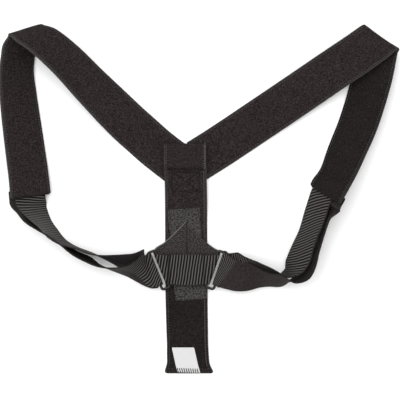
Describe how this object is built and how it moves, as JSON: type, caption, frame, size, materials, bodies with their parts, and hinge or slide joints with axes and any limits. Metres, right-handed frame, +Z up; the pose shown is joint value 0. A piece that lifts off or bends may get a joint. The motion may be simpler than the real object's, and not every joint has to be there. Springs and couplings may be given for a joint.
{
  "type": "posture corrector",
  "caption": "Posture corrector lying flat: two padded shoulder straps on a padded spine strip, a webbing band with a slanted ring at each side, doubled side straps, a grip patch and a plain label",
  "frame": {"origin": "on the surface that it lies on, in the middle of its spread", "axes": "+Z up, +Y towards the shoulder folds, +X to the right as seen from above"},
  "size_m": [0.4686, 0.4146, 0.0504],
  "materials": {
    "foam_fabric": "matt brushed loop cloth over foam",
    "ribbed_webbing": "woven, ribbed across its length",
    "grip_fabric": "short stiff hooks",
    "ring_plastic": "smooth moulded",
    "label_fabric": "plain woven tape"
  },
  "bodies": {
    "root": {"spine_strip": "foam_fabric", "left_shoulder_strap": "foam_fabric", "right_shoulder_strap": "foam_fabric", "hook_patch": "grip_fabric", "centre_band": "ribbed_webbing", "left_ring": "ring_plastic", "right_ring": "ring_plastic", "left_webbing": "ribbed_webbing", "right_webbing": "ribbed_webbing", "care_label": "label_fabric"}
  },
  "joints": []
}
